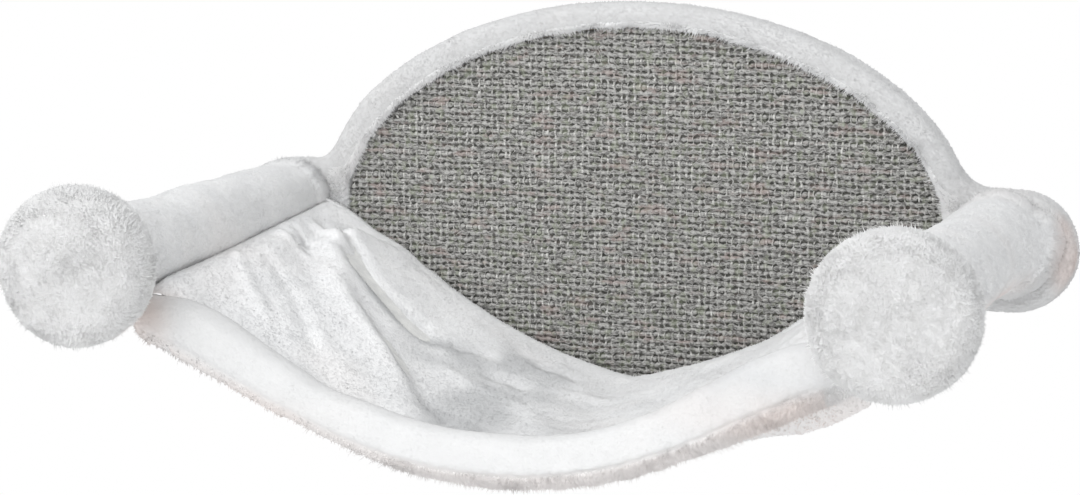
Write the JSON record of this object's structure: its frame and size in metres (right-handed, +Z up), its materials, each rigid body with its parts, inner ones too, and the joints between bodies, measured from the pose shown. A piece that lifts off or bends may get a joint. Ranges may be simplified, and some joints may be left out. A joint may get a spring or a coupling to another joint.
{
  "type": "cat hammock",
  "caption": "Wall hammock for a cat: oval sisal scratching board with a plush border, padded arms with plush end discs, and a padded plush sling hung between them.",
  "frame": {"origin": "midway between the entry holes of the two wall hangers, in the plane of the wall and at the height of the arms", "axes": "+X to the right seen from the room, +Y into the wall, +Z up"},
  "size_m": [0.54, 0.33, 0.264],
  "materials": {
    "plush": "short white plush pile, slightly crushed",
    "disc_plush": "longer white plush pile, fluffy",
    "sisal": "grey woven sisal with tan flecks",
    "wadding": "white polyester wadding",
    "fibreboard": "raw fibreboard",
    "pine": "raw turned wood",
    "steel": "bright zinc plate",
    "brass": "turned brass"
  },
  "bodies": {
    "root": {"back_board": "fibreboard", "board_plush_cover": "plush", "rim_padding": "wadding", "sisal_mat": "sisal", "cover_staples": "steel", "left_hanger_plate": "steel", "right_hanger_plate": "steel", "hanger_screws": "steel", "arm_washers": "steel", "arm_bolts": "steel", "left_bar": "pine", "right_bar": "pine", "rear_inserts": "brass", "front_inserts": "brass", "left_sleeve": "plush", "right_sleeve": "plush", "sling_lying_face": "plush", "sling_filling": "wadding", "sling_underside": "plush", "rear_hem": "plush", "front_bolster_cover": "plush", "front_bolster_filling": "wadding"},
    "left_stud": {"left_disc_stud": "steel"},
    "left_disc": {"left_disc_cover": "disc_plush", "left_disc_wadding": "wadding", "left_disc_core": "fibreboard"},
    "right_stud": {"right_disc_stud": "steel"},
    "right_disc": {"right_disc_cover": "disc_plush", "right_disc_wadding": "wadding", "right_disc_core": "fibreboard"}
  },
  "joints": [
    {"name": "left_stud_travel", "type": "slide", "parent": "root", "child": "left_stud", "axis": [0, -1, 0], "range_m": [0, 0.02501]},
    {"name": "left_disc_turn", "type": "hinge", "parent": "left_stud", "child": "left_disc", "pos_m": [-0.226, -0.295, 0], "axis": [0, -1, 0], "range_deg": [0, 7200]},
    {"name": "right_stud_travel", "type": "slide", "parent": "root", "child": "right_stud", "axis": [0, -1, 0], "range_m": [0, 0.02501]},
    {"name": "right_disc_turn", "type": "hinge", "parent": "right_stud", "child": "right_disc", "pos_m": [0.226, -0.295, 0], "axis": [0, -1, 0], "range_deg": [0, 7200]}
  ],
  "couplings": [
    {"joint": "left_stud_travel", "follows": "left_disc_turn", "m_per_rad": 0.00019894},
    {"joint": "right_stud_travel", "follows": "right_disc_turn", "m_per_rad": 0.00019894}
  ]
}
